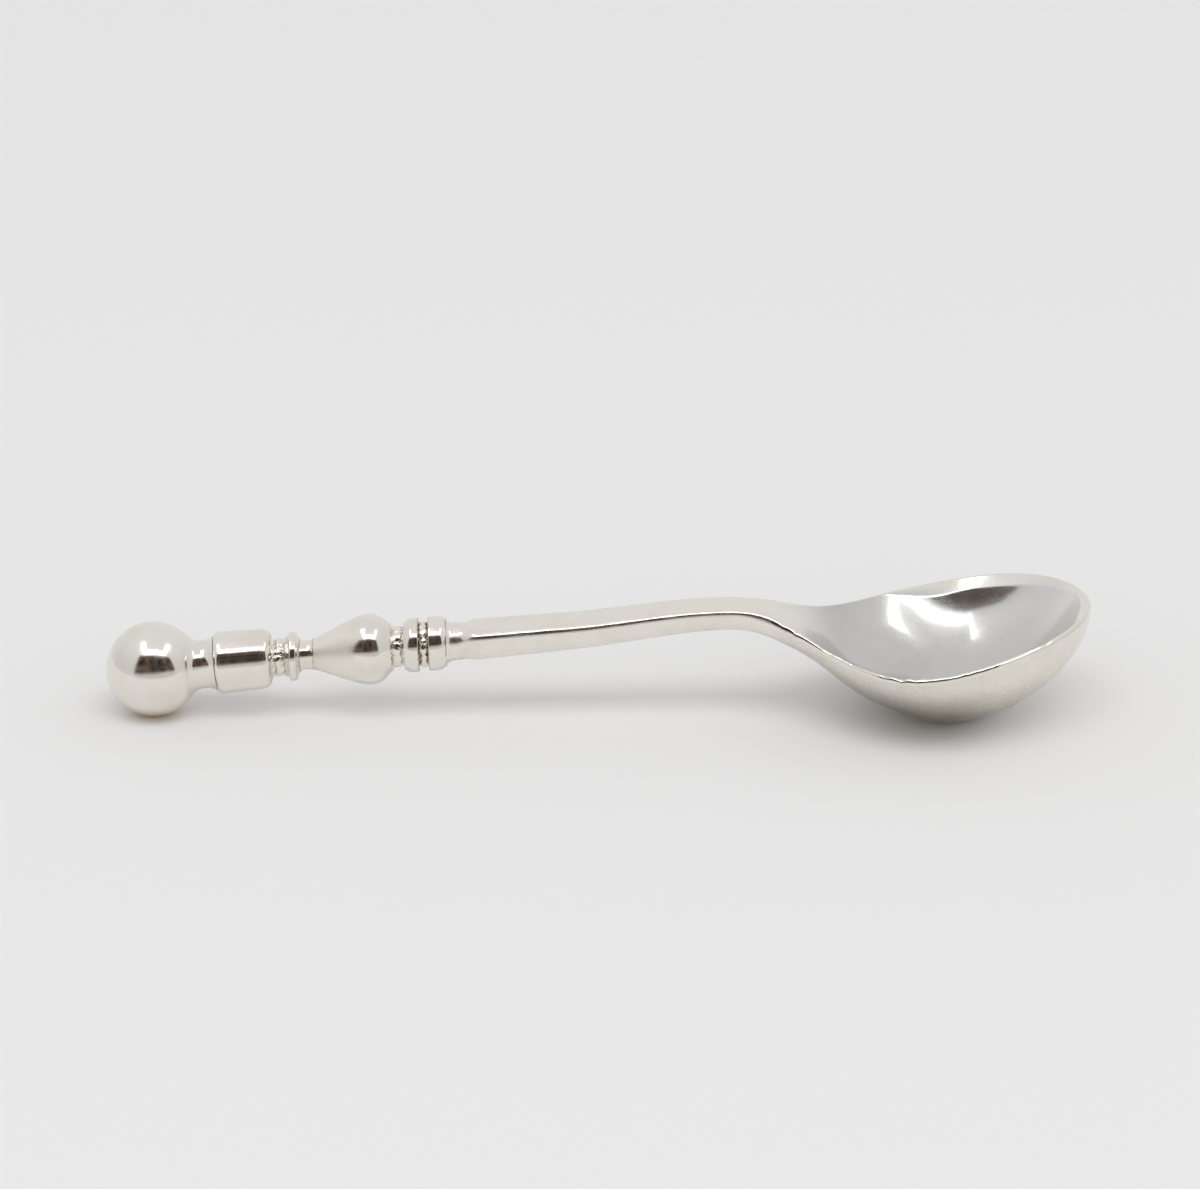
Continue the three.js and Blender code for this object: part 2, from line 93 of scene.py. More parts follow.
KNOP_COLLAR_L, STEM_COLLAR_L = 1.11, 1.35
BEAD_RING_L, BEAD_CORE_R = 0.78, 1.66
ROUND_STEPS = 96

# Shares that shape the members: of half a waist, of the disc's length, of the cone's belly and foot
WAIST_TUCK = 0.4
DISC_RIM_FROM = 0.34
CONE_SWELL_AT, CONE_SWELL_R, CONE_ROUND_AT = 0.62, 0.72, 0.55

# Lean of the rings, and the share of it that the cone has
RING_LEAN, CONE_LEAN = math.radians(3.6), 0.2

# Hand finish: depth and grain
BALL_RUB, MEMBER_RUB, GRANULE_RUB = (0.01, 2.2), (0.012, 1.3), (0.07, 0.3)

# Stem: a round neck, then a bar of soft rectangular section that bows up before the bowl
STEM_NECK_R, STEM_WAIST_R, STEM_WAIST_AT, SHOULDER_L, STEM_L = 1.84, 1.54, 0.62, 2.1, 22.3
BAR_W, BAR_H, BAR_END_W, BAR_END_H = 3.94, 2.46, 3.4, 1.84
BAR_EDGE, BAR_END_EDGE, BAR_FLAT = 0.8, 0.55, 0.08
BOW_L, BOW_RISE, BOW_SLOPE = 12.0, 0.28, 0.03

# Bowl: heights over the table, lengths along X
FLARE_L, BOWL_HALF, BOWL_WALL, BOWL_BASE = 17.65, 10.29, 0.75, 1.81
RIM_W, RIM_EDGE, TIP_INSIDE = 0.44, 0.4, 0.005
RIM_SHOULDER_Z, RIM_HEEL_Z, RIM_LOW_Z = 9.17, 7.56, 6.82
RIM_WIDE_Z, RIM_NOSE_Z, RIM_TIP_Z = 7.36, 8.76, 9.94
KEEL_BEND_Z, KEEL_SHOULDER_Z, KEEL_HEEL_Z, KEEL_MIDDLE_Z, KEEL_LOW_Z = 7.58, 6.5, 4.66, 2.5, 0.93
WORN_DEPTH = 0.08
CUT_TURN_AT, CUT_TURN_L = 13.9, 7.4
HOLLOW_START, HOLLOW_RAMP = 4.4, 6.0
SCARF_AT, SCARF_ANGLE = 3.2, math.radians(38)

# Bevel inside the rim: its size, where it grows and thins from the widest place on, and three shares:
# how much of it the heel has, how much the tip loses, and how much of the hollow's depth it may take
BEVEL_W, BEVEL_D, BEVEL_FLAT_GAP = 0.68, 0.76, 0.02
BEVEL_GROWS, BEVEL_THINS = (-5.5, 1.5), 4
BEVEL_HEEL, BEVEL_THINNED, BEVEL_SHARE = 0.06, 0.4, 0.25

# Shares that shape the bowl: places along the flare, fullness of the sections, roundness of the rim
RIM_PLACES, KEEL_PLACES = (0.22, 0.445, 0.69), (0.14, 0.28, 0.445, 0.61, 0.805)
RIM_TURN, BOWL_TURN = 0.6, (0.05, 0.5)
NOSE_FILL = -0.12
SIDE_CUT, HEEL_CUT, NOSE_CUT, TIP_CUT = 0.75, 0.4, 0.985, 0.7
BEVEL_ROUND, EDGE_ROUND = 0.1, 0.4

# Places along the axis from the ball's centre
MEMBER_L = {
    "finial_neck": NECK_L,
    "barrel": BARREL_L,
    "barrel_spool": SPOOL_L,
    "disc": DISC_L,
    "throat": THROAT_L,
    "cone_knop": CONE_L,
    "knop_neck": KNOP_NECK_L,
    "knop_collar": KNOP_COLLAR_L,
    "beaded_ring": BEAD_RING_L,
    "stem_collar": STEM_COLLAR_L,
}
ball_seat = math.sqrt(BALL_R**2 - BALL_SEAT_R**2)
starts = {}
stem_start = ball_seat + SOLDER
for member, member_l in MEMBER_L.items():
    starts[member] = stem_start
    stem_start += member_l + SOLDER

# Places along X
ball_x, ball_z = BALL_CENTRE.x / MM, BALL_CENTRE.z / MM
stem_x = ball_x + stem_start * math.cos(TILT)
waist_x = stem_x + STEM_WAIST_AT
bar_x = waist_x + SHOULDER_L
flare_x = stem_x + STEM_L
bow_x = flare_x - BOW_L
wide_x = flare_x + FLARE_L
tip_x = cad_box[1].x / MM - TIP_INSIDE
NOSE_L = tip_x - wide_x


# Curves

def ease(t):
    c = np.clip(t, 0, 1)
    return c**3 * (c * (6 * c - 15) + 10)


def grown(place, start, end):
    return ease((place - start) / (end - start))


def mix(a, b, t):
    return a + (b - a) * t


def spline(places, heights, start_slope, end_slope):
    """Cubic with an even curvature through all the points; an end slope of None leaves that end straight."""
    x, z = np.array(places, float), np.array(heights, float)
    n, h = len(x), np.diff(x)
    rows, sums = np.zeros((n, n)), np.zeros(n)
    for i in range(1, n - 1):
        rows[i, i - 1:i + 2] = 1 / h[i - 1], 2 / h[i - 1] + 2 / h[i], 1 / h[i]
        sums[i] = 3 * ((z[i] - z[i - 1]) / h[i - 1] ** 2 + (z[i + 1] - z[i]) / h[i] ** 2)
    for end, other, slope in ((0, 1, start_slope), (n - 1, n - 2, end_slope)):
        rows[end, end] = 1
        sums[end] = slope
        if slope is None:
            step = x[other] - x[end]
            rows[end, end], rows[end, other] = 2, 1
            sums[end] = 3 * (z[other] - z[end]) / step
    slopes = np.linalg.solve(rows, sums)

    def at(p):
        i = np.clip(np.searchsorted(x, p) - 1, 0, n - 2)
        span = x[i + 1] - x[i]
        t = (p - x[i]) / span
        s = 1 - t
        bulge = s * slopes[i] - t * slopes[i + 1]
        return z[i] * s * s * (1 + 2 * t) + z[i + 1] * t * t * (1 + 2 * s) + span * t * s * bulge

    return at


def bend(start, corner, end, steps=10):
    """Points of a rounded corner, without its first point."""
    return [
        tuple((1 - t) ** 2 * a + 2 * t * (1 - t) * b + t * t * c for a, b, c in zip(start, corner, end))
        for t in (i / steps for i in range(1, steps + 1))
    ]


# Mesh helpers

def start_clean():
    bpy.ops.object.select_all(action="DESELECT")


def pick(piece):
    start_clean()
    piece.select_set(True)
    bpy.context.view_layer.objects.active = piece


def edit(piece):
    pick(piece)
    bpy.ops.object.mode_set(mode="EDIT")
    bpy.ops.mesh.select_all(action="SELECT")


def copied(piece):
    pick(piece)
    bpy.ops.object.duplicate(linked=False)
    return bpy.context.object


def settle(piece):
    """Puts the piece's place, turn and size into its mesh."""
    pick(piece)
    bpy.ops.object.transform_apply(location=True, rotation=True, scale=True)


def close_skin(piece, smooth_angle=38):
    """Merges the seams, fills the poles, turns the faces outwards and smooths all but the sharp edges."""
    edit(piece)
    bpy.ops.mesh.remove_doubles(threshold=1e-6)
    bpy.ops.mesh.dissolve_degenerate(threshold=1e-7)
    bpy.ops.mesh.fill_holes(sides=0)
    bpy.ops.mesh.normals_make_consistent(inside=False)
    bpy.ops.object.mode_set(mode="OBJECT")
    bpy.ops.object.shade_smooth_by_angle(angle=math.radians(smooth_angle))


def vertex_places(piece):
    places = np.empty(len(piece.data.vertices) * 3)
    piece.data.vertices.foreach_get("co", places)
    return places.reshape(-1, 3)


def mark(piece, name, values):
    layer = piece.data.attributes.new(name, "FLOAT", "POINT")
    layer.data.foreach_set("value", np.asarray(values, np.float32))


def finish_piece(piece, node, material):
    piece.name = piece.data.name = "silver_" + node
    piece.data.materials.clear()
    piece.data.materials.append(material)
    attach(piece, "root")
    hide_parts(node)


# Turned members

def on_axis(along):
    return BALL_CENTRE + AXIS * along * MM


def from_axis(piece):
    """Each vertex's place along the handle's axis and its distance from it."""
    arms = vertex_places(piece) / MM - np.array(BALL_CENTRE) / MM
    along = arms @ np.array(AXIS)
    return along, np.linalg.norm(arms - along[:, None] * np.array(AXIS), axis=1)


def turn(start, outline):
    """Draws a circle out along the handle's axis, ring by ring, through (along, radius) points."""
    along, radius = outline[0]
    start_clean()
    bpy.ops.mesh.primitive_circle_add(
        vertices=ROUND_STEPS, radius=radius * MM,
        location=on_axis(start + along), rotation=(0, math.pi / 2 - TILT, 0),
    )
    piece = bpy.context.object
    settle(piece)
    edit(piece)
    for (from_along, from_radius), (to_along, to_radius) in zip(outline, outline[1:]):
        step = AXIS * (to_along - from_along) * MM
        growth = to_radius / from_radius
        bpy.ops.mesh.extrude_region_move(TRANSFORM_OT_translate={"value": step})
        bpy.ops.transform.resize(value=(growth,) * 3, center_override=on_axis(start + to_along))
    bpy.ops.object.mode_set(mode="OBJECT")
    return piece


def bored(outside):
    """An outline over the outside and back through the tang's bore, with the solder film filled."""
    first, last = outside[0][0] - SEATED, outside[-1][0] + SEATED
    skin = [(first, outside[0][1]), *outside[1:-1], (last, outside[-1][1])]
    return [(first, BORE_R), *skin, (last, BORE_R), (first, BORE_R)]


def waisted(start_r, waist_r, end_r, length):
    half = length / 2
    tuck = half * WAIST_TUCK
    return [
        (0, start_r),
        *bend((0, start_r), (tuck, waist_r), (half, waist_r)),
        *bend((half, waist_r), (length - tuck, waist_r), (length, end_r)),
    ]


def ball_outline(steps=60):
    radius, seat = BALL_R - POLISHED_OFF, ball_seat + SEATED
    turns = [mix(-math.pi / 2, math.asin(seat / radius), i / steps) for i in range(steps + 1)]
    outside = [(radius * math.sin(a), max(POLE_R, radius * math.cos(a))) for a in turns]
    depth = ball_seat - BORE_DEPTH
    return [*outside, (seat, BORE_R), (depth, BORE_R), (depth, POLE_R)]


def barrel_outline(steps=8):
    near, far = BARREL_ROUND_NEAR, BARREL_L - BARREL_ROUND_FAR
    side = [(mix(near, far, i / steps), mix(BARREL_R, BARREL_FAR_R, i / steps)) for i in range(1, steps + 1)]
    return [
        (0, BARREL_NEAR_R),
        *bend((0, BARREL_NEAR_R), (0, BARREL_R), (near, BARREL_R)),
        *side,
        *bend((far, BARREL_FAR_R), (BARREL_L, BARREL_FAR_R), (BARREL_L, BARREL_END_R)),
    ]


def disc_outline():
    first, last = (DISC_L * DISC_RIM_FROM, DISC_R), (DISC_L * (1 - DISC_RIM_FROM), DISC_R)
    return [
        (0, DISC_FOOT_R),
        *bend((0, DISC_FOOT_R), (DISC_SWELL, DISC_R), first),
        last,
        *bend(last, (DISC_L - DISC_SWELL, DISC_R), (DISC_L, DISC_FOOT_R)),
    ]


def cone_outline(steps=40):
    swell_at, swell_r = CONE_BELLY_AT * CONE_SWELL_AT, mix(CONE_TOP_R, CONE_BELLY_R, CONE_SWELL_R)
    round_at = mix(CONE_BELLY_AT, CONE_L, CONE_ROUND_AT)
    radius = spline(
        (0, swell_at / 2, swell_at, CONE_BELLY_AT, round_at, CONE_L),
        (CONE_TOP_R, (CONE_TOP_R + swell_r) / 2, swell_r, CONE_BELLY_R, CONE_ROUND_R, CONE_FOOT_R),
        None, None,
    )
    return [(s, float(radius(s))) for s in np.linspace(0, CONE_L, steps)]


def collar_outline(length, bevel_first):
    soft = COLLAR_BREAK
    corners = [
        (0, COLLAR_FOOT_R),
        *bend((0, COLLAR_FOOT_R), (COLLAR_BEVEL, COLLAR_R), (COLLAR_SHOULDER, COLLAR_R), 8),
        (length - soft, COLLAR_R),
        *bend((length - soft, COLLAR_R), (length, COLLAR_R), (length, COLLAR_R - soft), 4),
    ]
    return corners if bevel_first else [(length - s, r) for s, r in reversed(corners)]


def hand_finish(piece, depth, grain):
    """Takes a little silver off unevenly, as filing and polishing by hand do."""
    pick(piece)
    wear = bpy.data.textures.new("wear", "CLOUDS")
    wear.noise_scale, wear.noise_depth = grain * MM, 1
    rub = piece.modifiers.new("rub", "DISPLACE")
    rub.texture, rub.texture_coords = wear, "LOCAL"
    rub.strength, rub.mid_level = depth * MM, 1.0
    bpy.ops.object.modifier_apply(modifier=rub.name)
    bpy.data.textures.remove(wear)


def lean_over(piece):
    """Leans the rings: more and more from the barrel to the disc, little at the cone, and fully past it."""
    places = vertex_places(piece)
    arms = places - np.array(BALL_CENTRE)
    along, belly = arms @ np.array(AXIS) / MM, starts["cone_knop"] + CONE_BELLY_AT
    eased = grown(along, starts["throat"], belly) - grown(along, belly, starts["knop_collar"])
    share = grown(along, starts["barrel"], starts["disc"]) - (1 - CONE_LEAN) * eased
    places += (np.tan(RING_LEAN * share) * (arms @ np.array(UPRIGHT)))[:, None] * np.array(AXIS)
    piece.data.vertices.foreach_set("co", places.ravel())
    piece.data.update()


# Granulated rings: a turned core with a row of granules, melted into one skin

RING_TUCK = 0.12
MELT_STEP = 0.035
GRANULE_SIZES, GRANULE_SQUASH = (0.8, 1.12), (0.86, 1.06)
GRANULE_STRAY, GRANULE_DRIFT = (-0.14, 0.14), (0.9, 1.1)


def granule_row(start, along, count, granule, seat_r, phase):
    """Granules of uneven size round the axis."""
    chance = random.Random(count)
    start_clean()
    bpy.ops.mesh.primitive_ico_sphere_add(subdivisions=3, radius=MM, location=(0, 0, 0))
    seed = bpy.context.object
    row = []
    for i in range(count):
        bead = copied(seed)
        size = chance.uniform(*GRANULE_SIZES)
        bead.scale = [g * size * chance.uniform(*GRANULE_SQUASH) for g in granule]
        turn_by = 2 * math.pi * (i + phase + chance.uniform(*GRANULE_STRAY)) / count
        radial = Vector((0, -1, 0)) * math.sin(turn_by) + UPRIGHT * math.cos(turn_by)
        bead.rotation_euler = Matrix((AXIS, radial.cross(AXIS), radial)).transposed().to_euler()
        bead.location = on_axis(start + along * chance.uniform(*GRANULE_DRIFT)) + radial * seat_r * MM
        row.append(bead)
    bpy.data.objects.remove(seed)
    return row


def granulated(start, outline, count, granule, seat_r, phase):
    """A granule has half sizes along, round and away from the axis; the ends tuck into the neighbours."""
    length = outline[-1][0]
    first, last = (-RING_TUCK, outline[0][1] - RING_TUCK), (length + RING_TUCK, outline[-1][1] - RING_TUCK)
    core = turn(start, bored([first, *outline, last]))
    close_skin(core)
    row = granule_row(start, length / 2, count, granule, seat_r, phase)
    pick(core)
    for bead in row:
        bead.select_set(True)
    bpy.ops.object.join()
    settle(core)
    melt = core.modifiers.new("melt", "REMESH")
    melt.mode, melt.voxel_size = "VOXEL", MELT_STEP * MM
    bpy.ops.object.modifier_apply(modifier=melt.name)
    hand_finish(core, *GRANULE_RUB)
    soften = core.modifiers.new("soften", "SMOOTH")
    soften.factor, soften.iterations = 0.5, 4
    bpy.ops.object.modifier_apply(modifier=soften.name)
    bpy.ops.object.shade_smooth_by_angle(angle=math.radians(60))
    _, reach = from_axis(core)
    mark(core, "recess", 1 - ease((reach - seat_r) / granule[2]))
    lean_over(core)
    return core


# Stem and bowl, forged in one and parted along the scarf

def axis_z(x):
    return ball_z + (x - ball_x) * math.tan(TILT)


bow = spline((bow_x, flare_x), (axis_z(bow_x), axis_z(flare_x) + BOW_RISE), math.tan(TILT), BOW_SLOPE)
flare_top = axis_z(flare_x) + BOW_RISE + BAR_END_H / 2
flare_under = flare_top - BAR_END_H
rim_curve = spline(
    (flare_x, *(flare_x + share * FLARE_L for share in RIM_PLACES), wide_x, wide_x + NOSE_L / 2, tip_x),
    (flare_top, RIM_SHOULDER_Z, RIM_HEEL_Z, RIM_LOW_Z, RIM_WIDE_Z, RIM_NOSE_Z, RIM_TIP_Z),
    BOW_SLOPE, None,
)
keel_curve = spline(
    (flare_x, *(flare_x + share * FLARE_L for share in KEEL_PLACES), wide_x),
    (flare_under, KEEL_BEND_Z, KEEL_SHOULDER_Z, KEEL_HEEL_Z, KEEL_MIDDLE_Z, KEEL_LOW_Z, -WORN_DEPTH),
    BOW_SLOPE, 0,
)


def bar_share(x):
    return np.clip((x - bar_x) / (flare_x - bar_x), 0, 1)


def bar_half(x):
    return mix(BAR_H, BAR_END_H, bar_share(x)) / 2


def middle_z(x):
    return np.where(x < bow_x, axis_z(x), bow(np.clip(x, bow_x, flare_x)))


def top_z(x):
    return np.where(x < flare_x, middle_z(x) + bar_half(x), rim_curve(np.maximum(x, flare_x)))


def under_z(x):
    return np.where(x < flare_x, middle_z(x) - bar_half(x), keel_curve(np.clip(x, flare_x, wide_x)))


def half_width(x):
    """Bar, then an ogee that meets the nose's ellipse at the same curvature."""
    t = np.clip((x - flare_x) / FLARE_L, 0, 1)
    taper = (BAR_END_W - BAR_W) / 2 / (flare_x - bar_x)
    ogee = mix(BAR_END_W / 2, BOWL_HALF, ease(t))
    ogee = ogee - BOWL_HALF * (FLARE_L / NOSE_L) ** 2 * 0.5 * t**3 * (1 - t) ** 2
    ogee = ogee + taper * FLARE_L * (t - 6 * t**3 + 8 * t**4 - 3 * t**5)
    return np.where(x < flare_x, mix(BAR_W, BAR_END_W, bar_share(x)) / 2, ogee)


def hang(t, cut=SIDE_CUT):
    """Depth of the bowl's section across it: 1 in the middle, 0 at the rim; a larger cut is rounder."""
    rest = np.sqrt(1 - cut)
    return (np.sqrt(np.maximum(0, 1 - cut * t * t)) - rest) / (1 - rest)


def hang_reach(share, cut=SIDE_CUT):
    """The place across the bowl where its wall has that share of the depth."""
    rest = np.sqrt(1 - cut)
    return np.sqrt((1 - (share * (1 - rest) + rest) ** 2) / cut)


def hollow_cut(x):
    return mix(HEEL_CUT, NOSE_CUT, ease((x - flare_x - CUT_TURN_AT) / CUT_TURN_L))


# Stations of the blank, one row each: along the stem and the flare, then round the nose
RUNS = (
    (stem_x, waist_x, 9),
    (waist_x, bar_x, 25),
    (bar_x, bow_x, 11),
    (bow_x, flare_x, 39),
    (flare_x, wide_x, 129),
)
NOSE_STEPS = 90
straight = np.concatenate([np.linspace(start, end, steps, endpoint=False) for start, end, steps in RUNS])
base = np.append(straight, np.full(NOSE_STEPS, wide_x))[:, None]
nosed = np.append(np.zeros(len(straight)), np.ones(NOSE_STEPS))[:, None] > 0
round_nose = np.append(np.zeros(len(straight)), np.linspace(0, math.pi / 2, NOSE_STEPS))[:, None]


def plan(inset):
    """Place along X and half width of the stations, with the outline set in by so much."""
    half = np.where(nosed, (BOWL_HALF - inset) * np.cos(round_nose), half_width(base) - inset)
    return base + nosed * (NOSE_L - inset) * np.sin(round_nose), half


station_x, station_half = plan(0.0)
flare_share = (station_x - flare_x) / FLARE_L
flared, bowled = ease(flare_share / RIM_TURN), grown(flare_share, *BOWL_TURN)
bar_edge = mix(BAR_EDGE, BAR_END_EDGE, bar_share(station_x))
edge = mix(bar_edge, RIM_EDGE, flared)
bevel_grown = grown(station_x - wide_x, *BEVEL_GROWS)
bevelled = BEVEL_HEEL * flared + (1 - BEVEL_HEEL) * bevel_grown
bevelled = bevelled * (1 - BEVEL_THINNED * grown(station_x, wide_x + BEVEL_THINS, tip_x))
rim_w = mix(bar_edge + BAR_FLAT, RIM_W, flared) + BEVEL_W * bevelled
nose_fall = np.cos(round_nose) * (1 + NOSE_FILL * np.sin(round_nose) ** 2)
keel = np.where(nosed, mix(RIM_TIP_Z - RIM_EDGE, -WORN_DEPTH, nose_fall), under_z(station_x))

# Steps round each station: the underside, then the rim's edge, flat and bevel, and the hollow
UNDER, EDGE, FLAT, BEVEL, HOLLOW = 80, 10, 2, 10, 80

dents = random.Random(11)


def knocked(count, places, lengths, depths):
    """Dents knocked into the rim at random: each has a place along X, a length and a depth."""
    return [tuple(dents.uniform(*span) for span in (places, lengths, depths)) for _ in range(count)]


NEAR_NICKS = knocked(22, (14, 36), (0.09, 0.3), (0.02, 0.07))
FAR_NICKS = knocked(9, (18, 38), (0.2, 0.5), (0.004, 0.014))


def rounded(first, corner, last, steps):
    t = np.linspace(0, 1, steps + 1)[None, :, None]
    return (1 - t) ** 2 * first + 2 * t * (1 - t) * corner + t * t * last


def rim_point(inset):
    x, half = plan(inset)
    return np.stack([x, half, top_z(x)], -1)


def underside():
    """The outer skin from the near edge to the far one: a soft rectangle on the bar, hanging at the bowl."""
    rim_z = top_z(station_x)
    depth = rim_z - keel
    share = np.clip(edge / depth, 0, 1)
    bar_end = np.arccos(share**3)
    bowl_end = np.arcsin(np.clip(hang_reach(share), 0, 1))
    sweep = mix(bar_end, bowl_end, bowled) * np.linspace(-1, 1, UNDER + 1)
    side, down = np.sin(sweep), np.maximum(0, np.cos(sweep))
    y = station_half * mix(np.cbrt(side), side, bowled)
    z = rim_z - depth * mix(np.cbrt(down), hang(side), bowled)
    return np.stack([station_x + 0 * y, y, z], -1)


def hollow_skin():
    """The hollow from the far bevel to the near one, flat along the bar."""
    x, half = plan(rim_w)
    top = top_z(x)
    tip_top = top_z(np.array(tip_x - RIM_W))
    wall = mix(BOWL_WALL, BOWL_BASE + WORN_DEPTH, ease(flare_share))
    bottom = np.where(nosed, mix(tip_top, BOWL_BASE, hang(np.sin(round_nose), TIP_CUT)), keel + wall)
    start = flare_x + HOLLOW_START
    depth = np.maximum(0, top - bottom) * grown(station_x, start, start + HOLLOW_RAMP)
    least = 1e-6
    share = np.minimum(BEVEL_D * bevelled, BEVEL_SHARE * depth) / np.maximum(depth, least)
    share = np.where(depth > least, share, BEVEL_SHARE)
    cut = hollow_cut(station_x)
    end = np.arcsin(np.clip(hang_reach(share, cut), 0, 1))
    side = np.sin(end * np.linspace(1, -1, HOLLOW + 1))
    return np.stack([x + 0 * side, half * side, top - depth * hang(side, cut)], -1)


def far_rim(outside, inside):
    """The far rim, from the underside over its worn edge, its flat and its bevel into the hollow."""
    first, crest, last = outside[:, -1:], rim_point(edge), inside[:, :1]
    brow = rim_point(rim_w - BEVEL_W * bevelled - BEVEL_FLAT_GAP)
    shoulder = mix((first + crest) / 2, rim_point(0.0), mix(1, EDGE_ROUND, flared)[..., None])
    corner = mix((brow + last) / 2, rim_point(rim_w), BEVEL_ROUND)
    worn_edge = rounded(first, shoulder, crest, EDGE)
    flat = mix(crest, brow, np.linspace(0, 1, FLAT + 1)[None, :, None])
    bevel = rounded(brow, corner, last, BEVEL)
    return np.concatenate([worn_edge[:, 1:], flat[:, 1:], bevel[:, 1:]], 1)


def nicks(places):
    return sum(depth * np.exp(-(((station_x - place) / length) ** 2)) for place, length, depth in places)


def stand_up(loops):
    """Rounds the rings near the collar into the neck, and stands them square to the bar's middle line."""
    x, middle, step = station_x, middle_z(station_x), 0.01
    around = np.arctan2(loops[..., 1], loops[..., 2] - middle)
    neck = np.clip((waist_x - x) / STEM_WAIST_AT, 0, 1)
    radius = mix(STEM_WAIST_R, STEM_NECK_R, neck * neck)
    squared = grown(x, waist_x, bar_x)
    slope = (middle_z(x + step) - middle_z(x - step)) / (2 * step)
    y = mix(radius * np.sin(around), loops[..., 1], squared)
    rise = mix(radius * np.cos(around), loops[..., 2] - middle, squared) * np.cos(np.arctan(slope))
    lean = math.tan(RING_LEAN) * (1 - grown(x, stem_x, bar_x))
    stood = np.stack([x + rise * (lean - slope), y, middle + rise], -1)
    return np.where((x < flare_x)[..., None], stood, loops)


def blank_loops():
    """Rings of points round the stem and bowl, as an array of stations by points by xyz."""
    outside, inside = underside(), hollow_skin()
    far = far_rim(outside, inside)
    near = far[:, -2::-1] * np.array([1, -1, 1])
    dented = np.sin(np.linspace(0, math.pi, far.shape[1] + 1))
    far[..., 2] -= nicks(FAR_NICKS) * dented[1:]
    near[..., 2] -= nicks(NEAR_NICKS) * dented[-2:0:-1]
    loops = np.concatenate([outside, far, inside[:, 1:], near], 1)
    loops[..., 2] = np.where(station_x > flare_x, np.maximum(loops[..., 2], 0), loops[..., 2])
    return stand_up(loops)


def tang_loops(first):
    """Rings of the tang, from its end inside the ball to the stem's face."""
    centre = first.mean(0)
    arms = first - centre
    arms = arms / np.linalg.norm(arms, axis=1)[:, None]
    end = np.array(on_axis(ball_seat - TANG_DEPTH)) / MM
    return np.stack([end + arms * TANG_POINT_R, end + arms * TANG_R, centre + arms * TANG_R])


# Finish of the bowl: heights where the painted shade under it fades out and the share of it the nose loses;
# how much painted light the hollow has at its heel, middle and nose, and the painted shade of its deep part;
# and the spans from the widest place where these change
UNDER_SHADE_FADES = ((1.3, 4.2), (3.2, 6.4))
NOSE_SHADE_FADES, NOSE_SHADE_LOSS = (-1, 6), 0.7
HEEL_LIGHTNESS, MIDDLE_LIGHTNESS, NOSE_LIGHTNESS, DEEP_PAINTED_SHADE = 0.6, 0.2, 1.0, 0.8
HEEL_FADES, NOSE_FADES = (-12, -7), (-2, 4)
FINISH_AHEAD, RIM_FADE = 1, 3


def mark_finish(blank, rings):
    """Marks the hollow, the painted shade low on the underside, the painted light and shade of the hollow,
    and the rim.
    """
    count = rings.shape[1] - 1
    column = np.arange(count + 1)
    into = np.minimum(column - UNDER, count - column)
    x, high = rings[..., 0], rings[..., 2]
    past_wide = x - wide_x
    start = flare_x + HOLLOW_START - FINISH_AHEAD
    hollow = ease((into - EDGE - FLAT) / BEVEL) * grown(x, start, start + HOLLOW_RAMP)
    # Painted shade low on the underside: full below the first heights, fading out above them, and less at the
    # nose
    painted_low_shade = 1 - sum(grown(high, *heights) for heights in UNDER_SHADE_FADES) / len(UNDER_SHADE_FADES)
    painted_low_shade = painted_low_shade * (1 - NOSE_SHADE_LOSS * grown(past_wide, *NOSE_SHADE_FADES))
    # Painted light and shade in the hollow: lightest at the nose, less at the heel and least in the middle,
    # and darker deep down
    painted_lightness = HEEL_LIGHTNESS + (MIDDLE_LIGHTNESS - HEEL_LIGHTNESS) * grown(past_wide, *HEEL_FADES)
    painted_lightness = painted_lightness + (NOSE_LIGHTNESS - MIDDLE_LIGHTNESS) * grown(past_wide, *NOSE_FADES)
    sunk = (top_z(np.minimum(x, tip_x)) - high) / (RIM_WIDE_Z - BOWL_BASE)
    painted_lightness = painted_lightness * (1 - DEEP_PAINTED_SHADE * ease(sunk))
    rim = ease(into / RIM_FADE) * (1 - ease((into - EDGE - FLAT - BEVEL) / RIM_FADE))
    for name, values in (("hollow", hollow), ("painted_low_shade", painted_low_shade), ("painted_lightness", painted_lightness), ("rim", rim + 0 * x)):
        mark(blank, name, values.ravel())


def forged_blank():
    """A grid drawn round the tang, stem and bowl."""
    loops = blank_loops()
    loops = np.concatenate([tang_loops(loops[0]), loops])
    stations, count = loops.shape[:2]
    start_clean()
    bpy.ops.mesh.primitive_grid_add(x_subdivisions=count, y_subdivisions=stations - 1, size=MM)
    blank = bpy.context.object
    rings = np.concatenate([loops, loops[:, :1]], 1)
    blank.data.vertices.foreach_set("co", (rings * MM).astype(np.float32).ravel())
    blank.data.update()
    settle(blank)
    mark_finish(blank, rings)
    close_skin(blank)
    return blank


def parted(blank, keep_bowl):
    """The blank's bowl or its stem, cut along the scarf and shaded as the whole blank."""
    piece = copied(blank)
    close_skin(piece)
    edit(piece)
    x = flare_x + SCARF_AT
    seam = Vector((x, 0, float(top_z(np.array(x)) + under_z(np.array(x))) / 2)) * MM
    facing = Vector((math.sin(SCARF_ANGLE), 0, -math.cos(SCARF_ANGLE)))
    bpy.ops.mesh.bisect(
        plane_co=seam, plane_no=facing, use_fill=True,
        clear_inner=keep_bowl, clear_outer=not keep_bowl, threshold=1e-7,
    )
    bpy.ops.object.mode_set(mode="OBJECT")
    close_skin(piece, 28)
    shine = piece.modifiers.new("shine", "DATA_TRANSFER")
    shine.object = blank
    shine.use_loop_data, shine.data_types_loops = True, {"CUSTOM_NORMAL"}
    shine.loop_mapping = "POLYINTERP_NEAREST"
    bpy.ops.object.modifier_apply(modifier=shine.name)
    return piece


# Silver: node helpers, three shared effects, four finishes

